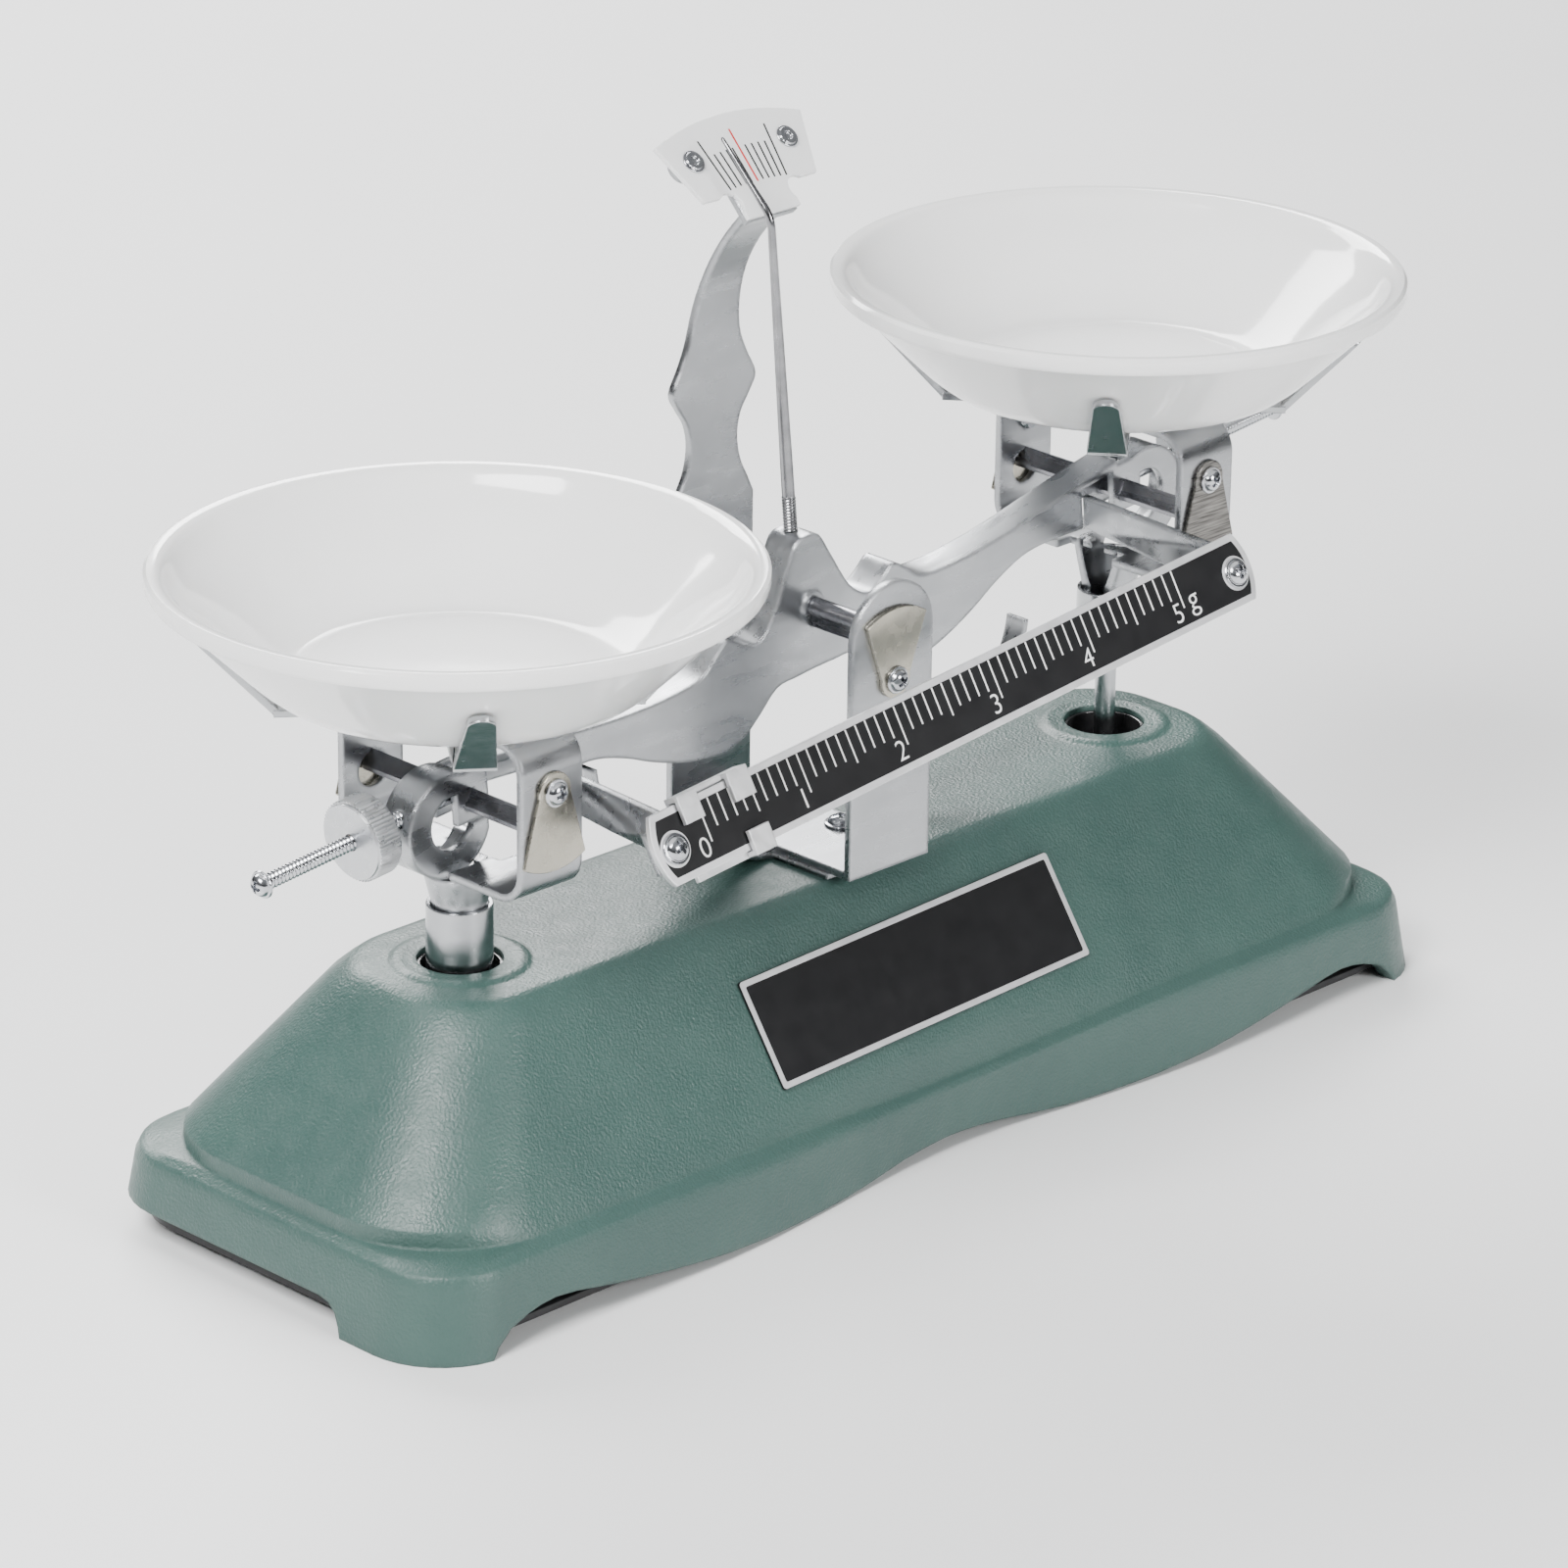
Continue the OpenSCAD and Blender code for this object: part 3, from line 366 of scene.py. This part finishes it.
MATERIALS = {
    "green_paint": green_paint(),
    "black_steel": painted("black_steel", (0.02, 0.02, 0.021), 0.35, grain=700, strength=0.15),
    "black_liner": liner(),
    "black_label": painted("black_label", (0.009, 0.009, 0.01), 0.42, other=(0.0105, 0.0105, 0.0115)),
    "zinc_sheet": zinc_sheet(),
    "bright_zinc": bright_plate(),
    "screw_steel": screw_steel(),
    "needle_steel": needle_steel(),
    "rider_tin": rider_tin(),
    "brushed_cover": brushed_cover(),
    "knife_steel": knife_steel(),
    "cover_nickel": cover_nickel(),
    "ruler_edge": ruler_edge(),
    "ruler_white": painted("ruler_white", (0.86, 0.86, 0.86), 0.45),
    "dial_white": gloss_white("dial_white", (0.86, 0.86, 0.86), 0.22, 0.3),
    "dial_black": painted("dial_black", (0.012, 0.012, 0.012), 0.4),
    "dial_red": painted("dial_red", srgb(190, 40, 40), 0.4),
    "nut_alloy": nut_alloy(),
    "pan_white": gloss_white("pan_white", (0.94, 0.94, 0.935), 0.12, 0.5),
}
FINISH = {s["node"]: s["material_slot"] for s in frame["record"]["subparts"]}
FINISH["rider"] = "rider_tin"


# ---------- CAD nodes: finishes and softened edges ----------

# Radius along the sharp edges of each node, in millimetres
EDGE = {
    "base_housing": 0.0, "beam_body": 0.4, "stirrup_left": 0.35, "stirrup_right": 0.35,
    "carrier_left": 0.3, "carrier_right": 0.3, "centre_bracket": 0.3, "ruler_arms": 0.3,
    "dial_marks": 0.0, "dial_zero": 0.0, "ruler_marks": 0.0, "ruler_face": 0.0,
    "nut_left": 0.05, "nut_right": 0.05, "pan_left": 0.0, "pan_right": 0.0, "dial_plate": 0.12,
    "ruler_plate": 0.12, "end_knives": 0.08, "centre_knife": 0.08, "nameplate": 0.1,
    "link_pins": 0.15, "link_axle": 0.15,
}
PLAIN_EDGE = 0.2
LEAST_EDGE = 0.01
FINE_EDGE = 0.1

# Nodes whose nearly flat facets are part of a curve, so they are kept
LOFTED = ("base_housing", "pan_left", "pan_right", "pointer")


def dress(name):
    """Gives a CAD node its finish, smooth shading and a small radius along its sharp edges."""
    shown = nodes[name]
    mesh = shown.data
    mesh.materials.clear()
    mesh.materials.append(MATERIALS[FINISH[name]])
    if "custom_normal" in mesh.attributes:
        mesh.attributes.remove(mesh.attributes["custom_normal"])
    mesh.shade_smooth()
    weld = shown.modifiers.new("weld", "WELD")
    weld.merge_threshold = 1e-6
    if name not in LOFTED:
        plane = shown.modifiers.new("join_flat", "DECIMATE")
        plane.decimate_type = "DISSOLVE"
        plane.angle_limit = math.radians(0.4)
    width = EDGE.get(name, PLAIN_EDGE) * MM
    bevel = shown.modifiers.new("edge_radius", "BEVEL")
    bevel.limit_method = "ANGLE"
    bevel.angle_limit = math.radians(32)
    bevel.width = max(width, LEAST_EDGE * MM)
    bevel.segments = 2 if width > FINE_EDGE * MM else 1
    bevel.harden_normals = False
    bevel.use_clamp_overlap = True
    flat = shown.modifiers.new("flat_faces", "WEIGHTED_NORMAL")
    flat.mode = "FACE_AREA"
    flat.weight = 80
    flat.keep_sharp = False


for name in nodes:
    dress(name)

# The front cover on the right is bare brushed steel, the others are plated.
covers = nodes["covers_right"].data
covers.materials.append(MATERIALS["brushed_cover"])
for face in covers.polygons:
    if (nodes["covers_right"].matrix_world @ face.center).y < 0:
        face.material_index = 1


# ---------- mesh helpers ----------

def add_piece(name, mesh, body, material, replaced=()):
    """Puts a finished mesh, already in the row frame, on its body."""
    mesh.materials.clear()
    mesh.materials.append(MATERIALS[material])
    made = bpy.data.objects.new(name, mesh)
    bpy.context.scene.collection.objects.link(made)
    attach(made, body)
    if replaced:
        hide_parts(*replaced)
    return made


def skin(rings, caps=True):
    """A mesh through closed rings of points that all have the same count."""
    count = len(rings[0])
    verts = [p for ring in rings for p in ring]
    faces = []
    for k in range(len(rings) - 1):
        for i in range(count):
            a, b = k * count + i, k * count + (i + 1) % count
            faces.append((a, b, b + count, a + count))
    if caps:
        faces.append(tuple(reversed(range(count))))
        faces.append(tuple((len(rings) - 1) * count + i for i in range(count)))
    mesh = bpy.data.meshes.new("skin")
    mesh.from_pydata(verts, [], faces)
    return mesh


def circle(radius, z, segments):
    turns = [2 * math.pi * i / segments for i in range(segments)]
    return [(radius * math.cos(a), radius * math.sin(a), z) for a in turns]


def lathe(profile, segments):
    """Turned shape round +Z from (radius, height) pairs in millimetres, bottom first."""
    return skin([circle(r * MM, z * MM, segments) for r, z in profile])


def joined(*meshes):
    """One mesh from several, as separate shells."""
    whole = bmesh.new()
    for mesh in meshes:
        whole.from_mesh(mesh)
    out = bpy.data.meshes.new("joined")
    whole.to_mesh(out)
    whole.free()
    return out


def smooth(mesh):
    """Smooth shading that keeps the real corners sharp."""
    mesh.shade_smooth()
    mesh.set_sharp_from_angle(angle=math.radians(35))
    return mesh


def carved(mesh, tool):
    """mesh minus tool, worked out once."""
    solids = []
    for part in (mesh, tool):
        solid = bpy.data.objects.new("solid", part)
        bpy.context.scene.collection.objects.link(solid)
        solids.append(solid)
    cut = solids[0].modifiers.new("cut", "BOOLEAN")
    cut.operation = "DIFFERENCE"
    cut.solver = "EXACT"
    cut.object = solids[1]
    bpy.context.view_layer.update()
    graph = bpy.context.evaluated_depsgraph_get()
    made = bpy.data.meshes.new_from_object(solids[0].evaluated_get(graph))
    for solid in solids:
        bpy.data.objects.remove(solid)
    return made


# ---------- screws and threads ----------

def cross_ring(arm, half, z):
    """Outline of a plus sign, anticlockwise."""
    corner = [(arm, -half), (arm, half), (half, half)]
    turns = [(1, 0), (0, 1), (-1, 0), (0, -1)]
    return [((x * c - y * s) * MM, (x * s + y * c) * MM, z * MM) for c, s in turns for x, y in corner]


def screw_head(radius, height):
    """Domed head on a thin flange, with a tapered cross recess. Its seat is at z = 0."""
    dome = 0.8 * radius
    profile = [(0.55 * radius, 0), (0.97 * radius, 0), (radius, 0.05 * height), (radius, 0.2 * height),
               (0.96 * radius, 0.27 * height), (dome * 1.03, 0.3 * height)]
    profile += [(dome * math.cos(math.radians(a)), (0.3 + 0.7 * math.sin(math.radians(a)) ** 0.9) * height)
                for a in (8, 20, 32, 44, 56, 68, 79, 87)]
    deep = 0.3 * height
    recess = skin([cross_ring(0.2 * radius, 0.09 * radius, deep),
                   cross_ring(0.47 * radius, 0.13 * radius, height * 0.86),
                   cross_ring(0.52 * radius, 0.15 * radius, height * 1.2)])
    return carved(lathe(profile, 36), recess)


HEADS = {}


def head_at(radius, height, place, turn):
    """A copy of a screw head, made once for each size, set in place and turned by degrees."""
    key = (radius, height)
    if key not in HEADS:
        HEADS[key] = screw_head(radius, height)
    mesh = HEADS[key].copy()
    mesh.transform(place @ Matrix.Rotation(math.radians(turn), 4, "Z"))
    return mesh


def thread(crest, root, pitch, low, high, segments=22, steps=6):
    """Helical thread round +Z between two heights, in millimetres."""
    rings = []
    count = int((high - low) / pitch * steps)
    for k in range(count + 1):
        z = low + (high - low) * k / count
        fade = min(1, (z - low) / pitch, (high - z) / pitch)
        ring = []
        for i in range(segments):
            phase = (z / pitch - i / segments) % 1
            wave = 1 - abs(2 * phase - 1)
            r = (root + (crest - root) * min(1, 1.25 * wave) * max(fade, 0)) * MM
            turn = 2 * math.pi * i / segments
            ring.append((r * math.cos(turn), r * math.sin(turn), z * MM))
        rings.append(ring)
    return skin(rings)


def facing(direction):
    """Rotation that turns +Z to a direction."""
    return Vector(direction).to_track_quat("Z", "Y").to_matrix().to_4x4()


def screws(name, body, node, spots, radius, height, shank):
    """One piece for the identical screws of a CAD node. Spots are (matrix, turn in degrees)."""
    parts = []
    for place, turn in spots:
        parts.append(head_at(radius, height, place, turn))
        stem = thread(1.25, 1.05, 0.45, -shank, 0.02)
        stem.transform(place)
        parts.append(stem)
    return add_piece(name, smooth(joined(*parts)), body, "screw_steel", (node,))


def at(x, y, z, direction=(0, 0, 1), base=Matrix.Identity(4)):
    """Place in millimetres in a frame, with +Z turned to a direction."""
    return base @ Matrix.Translation((x * MM, y * MM, z * MM)) @ facing(direction)


def build_screws():
    """Each pair: places and turns of the heads, then head radius, head height and shank length."""
    front = (0, -1, 0)
    rear = (0, 1, 0)
    screws("ruler_screw_pair", "beam", "ruler_screws",
           [(at(-RULER_SCREW_X, RULER_SCREW_UP, 0, base=RULER), 22),
            (at(RULER_SCREW_X, RULER_SCREW_UP, 0, base=RULER), 68)], 2.4, 1.7, 3.4)
    screws("post_cover_screw_pair", "base", "post_cover_screws",
           [(at(0, -POST_SEAT_Y, POST_SCREW_Z, front), 30),
            (at(0, POST_SEAT_Y, POST_SCREW_Z, rear), 75)], 2.2, 1.7, 3.4)
    screws("bracket_screw_pair", "base", "bracket_screws",
           [(at(-BRACKET_SCREW_X, BRACKET_SCREW_Y, BRACKET_SEAT_Z), 15),
            (at(BRACKET_SCREW_X, -BRACKET_SCREW_Y, BRACKET_SEAT_Z), 52)], 2.6, 1.7, 7)
    for side, pivot, front_turn in (("left", LEFT, 12), ("right", RIGHT, 40)):
        place = Matrix.Translation(pivot)
        screws(f"cover_screw_pair_{side}", f"stirrup_{side}", f"cover_screws_{side}",
               [(at(0, -CHEEK_SEAT_Y, COVER_SCREW_UP, front, place), front_turn),
                (at(0, CHEEK_SEAT_Y, COVER_SCREW_UP, rear, place), 60)], 2.2, 1.6, 3.2)


def build_balance_rods():
    """Threaded rods of the balance nuts with their cross recess heads at the outer ends."""
    parts = []
    for side in (-1, 1):
        place = at(side * ROD_END_X, 0, ROD_Z, (side, 0, 0), BEAM)
        parts.append(head_at(2.15, 1.8, place, 20 + 30 * side))
        rod = thread(1.24, 0.98, 0.7, -ROD_THREAD, 0.02, 24, 8)
        rod.transform(place)
        stub = lathe([(1.2, -ROD_LENGTH), (1.2, 0.1 - ROD_THREAD)], 20)
        stub.transform(place)
        parts += [rod, stub]
    add_piece("balance_rod_pair", smooth(joined(*parts)), "beam", "screw_steel", ("balance_screws",))


def build_pointer():
    """Tapered needle with a threaded foot and a tip bent back along the dial."""
    lift = 66.8
    foot = thread(1.12, 0.93, 0.5, 11, 21.4)
    bend = math.radians(42)
    path = [(0, 0, 21.2, 1.0), (0, 0, 22, 1.02), (0, 0, 26, 1.0), (0, 0, 44, 0.82), (0, 0, lift - 2.4, 0.63)]
    radius = 5
    for k in range(9):
        a = bend * k / 8
        path.append((0, radius * (1 - math.cos(a)), lift - 1.9 + radius * math.sin(a), 0.62 - 0.003 * k))
    y0, z0 = path[-1][1], path[-1][2]
    for reach in (3, 6, 9, 12.2, 12.5):
        size = 0.56 - 0.28 * reach / 12.5 if reach < 12.4 else 0.12
        path.append((0, y0 + reach * math.sin(bend), z0 + reach * math.cos(bend), size))
    rings = []
    for k, (x, y, z, r) in enumerate(path):
        a = Vector(path[max(k - 1, 0)][:3])
        b = Vector(path[min(k + 1, len(path) - 1)][:3])
        turn = facing(b - a)
        rings.append([tuple((Vector((x, y, z)) + turn @ Vector(p)) * MM) for p in circle(r, 0, 20)])
    mesh = joined(foot, skin(rings))
    mesh.transform(BEAM @ Matrix.Translation((0, 0.6 * MM, 0)))
    add_piece("pointer_needle", smooth(mesh), "beam", "needle_steel", ("pointer",))


build_screws()
build_balance_rods()
build_pointer()


# ---------- nameplate ----------

PLATE_TOP = Vector((0, -DECK_HALF_WIDTH - PLATE_DROP * FACE_TAN, DECK_Z - PLATE_DROP)) * MM
PLATE = Matrix.Translation(PLATE_TOP) \
    @ Matrix.Rotation(math.pi / 2 - math.atan(FACE_TAN), 4, "X") \
    @ Matrix.Translation((0, -PLATE_DOWN * MM, PLATE_OUT * MM)) @ Matrix.Rotation(PLATE_TURN, 4, "Z")


def rounded_rectangle(width, height, radius, z, steps=6):
    """Ring of points in metres from sizes in millimetres."""
    ring = []
    for cx, cy, start in ((1, 1, 0), (-1, 1, 90), (-1, -1, 180), (1, -1, 270)):
        for k in range(steps + 1):
            a = math.radians(start + 90 * k / steps)
            ring.append(((cx * (width / 2 - radius) + radius * math.cos(a)) * MM,
                         (cy * (height / 2 - radius) + radius * math.sin(a)) * MM, z * MM))
    return ring


def build_plate_border():
    """Thin pale rim round the blank plate."""
    width = 69.4
    height = 17.6
    rim = 0.95
    thick = 0.05
    inner_width = width - 2 * rim
    inner_height = height - 2 * rim
    rings = [rounded_rectangle(width, height, 0.6, 0),
             rounded_rectangle(width, height, 0.6, thick),
             rounded_rectangle(inner_width, inner_height, 0.3, thick),
             rounded_rectangle(inner_width, inner_height, 0.3, 0)]
    mesh = skin(rings + [rings[0]], caps=False)
    mesh.transform(PLATE)
    add_piece("nameplate_border", mesh, "base", "ruler_edge")


build_plate_border()


# ---------- printed figures ----------

def figure(text, name, x, y, size):
    """Printed character on the ruler as a thin raised mesh, centred on x."""
    curve = bpy.data.curves.new(name + "_outline", "FONT")
    curve.body = text
    curve.size = size * MM
    curve.extrude = 0.02 * MM
    curve.resolution_u = 6
    curve.offset = -0.045 * MM
    lettering = bpy.data.objects.new(name + "_outline", curve)
    bpy.context.scene.collection.objects.link(lettering)
    bpy.context.view_layer.update()
    graph = bpy.context.evaluated_depsgraph_get()
    mesh = bpy.data.meshes.new_from_object(lettering.evaluated_get(graph))
    bpy.data.objects.remove(lettering)
    xs = [v.co.x for v in mesh.vertices]
    middle = (min(xs) + max(xs)) / 2
    spot = Matrix.Translation(Vector((x, y, INK_Z)) * MM)
    mesh.transform(RULER @ spot @ Matrix.Translation((-middle, 0, 0)))
    add_piece(name, mesh, "beam", "ruler_white")


INK_Z = 0.09
FIGURE_LEFT = 1.6
UNIT_RIGHT = 2.3
SCALE_ZERO = ZERO_X - RULER_X
for step in range(6):
    figure(str(step), f"ruler_figure_{step}", SCALE_ZERO + step * GRAM - FIGURE_LEFT, 1.85, 4.5)
figure("g", "ruler_figure_g", SCALE_ZERO + 5 * GRAM + UNIT_RIGHT, 2.9, 5.2)


# ---------- floor, light and camera ----------

def build_stage():
    """Wide pale floor."""
    mesh = bpy.data.meshes.new("floor")
    size = 6
    mesh.from_pydata([(-size, -size, 0), (size, -size, 0), (size, size, 0), (-size, size, 0)], [],
                     [(0, 1, 2, 3)])
    floor = bpy.data.objects.new("floor", mesh)
    bpy.context.scene.collection.objects.link(floor)
    p = Paint("floor_white", (0.90, 0.90, 0.90), rough=0.6)
    p.vary_rough(p.noise(8, 2), 0.05)
    mesh.materials.append(p.mat)


def add_light(name, place, aim, size, watts):
    """Area light in metres and watts that looks from its place to its aim."""
    data = bpy.data.lights.new(name, "AREA")
    data.shape = "RECTANGLE"
    data.size, data.size_y = size
    data.energy = watts
    lamp = bpy.data.objects.new(name, data)
    bpy.context.scene.collection.objects.link(lamp)
    lamp.location = place
    lamp.rotation_mode = "QUATERNION"
    lamp.rotation_quaternion = (Vector(aim) - Vector(place)).to_track_quat("-Z", "Y")


def build_light():
    """Sky that darkens towards the horizon, with a key, a front and a back light."""
    world = bpy.data.worlds.new("studio")
    bpy.context.scene.world = world
    world.use_nodes = True
    tree = world.node_tree
    background = tree.nodes["Background"]
    background.inputs["Strength"].default_value = 1.0
    coords = tree.nodes.new("ShaderNodeTexCoord")
    split = tree.nodes.new("ShaderNodeSeparateXYZ")
    ramp = tree.nodes.new("ShaderNodeValToRGB")
    ramp.color_ramp.elements[0].position = 0.0
    ramp.color_ramp.elements[0].color = (0.02, 0.021, 0.022, 1)
    ramp.color_ramp.elements[1].position = 1.0
    ramp.color_ramp.elements[1].color = (0.46, 0.47, 0.48, 1)
    tree.links.new(coords.outputs["Generated"], split.inputs["Vector"])
    tree.links.new(split.outputs["Z"], ramp.inputs["Fac"])
    tree.links.new(ramp.outputs["Color"], background.inputs["Color"])
    add_light("key", (-0.75, -0.15, 0.85), (0, 0, 0.05), (0.5, 0.5), 20)
    add_light("front", (0.1, -1.1, 0.5), (0, 0, 0.06), (0.35, 0.4), 10)
    add_light("back", (0.35, 0.85, 0.7), (0, 0, 0.08), (0.9, 0.4), 20)


def build_camera():
    """Long lens from the front left, with the slight roll and shift of the view."""
    azimuth, elevation, roll = (math.radians(a) for a in (-45.47, 21.606, 0.814))
    target = Vector((-0.125, -0.057, 55.68)) * MM
    back = Vector((math.sin(azimuth) * math.cos(elevation), -math.cos(azimuth) * math.cos(elevation),
                   math.sin(elevation)))
    right = Vector((0, 0, 1)).cross(back).normalized()
    up = back.cross(right)
    across = right * math.cos(roll) + up * math.sin(roll)
    upward = up * math.cos(roll) - right * math.sin(roll)
    data = bpy.data.cameras.new("camera")
    sensor = 36
    lens_to_sensor = 4.40996
    data.sensor_width = sensor
    data.lens = sensor * lens_to_sensor
    data.shift_x = -0.00816
    data.shift_y = -0.01668
    data.clip_start = 0.05
    camera = bpy.data.objects.new("camera", data)
    bpy.context.scene.collection.objects.link(camera)
    distance = 1.07833
    camera.matrix_world = Matrix.Translation(target + back * distance) @ Matrix(
        (across, upward, back)).transposed().to_4x4()
    bpy.context.scene.camera = camera


build_stage()
build_light()
build_camera()

bpy.context.view_layer.update()
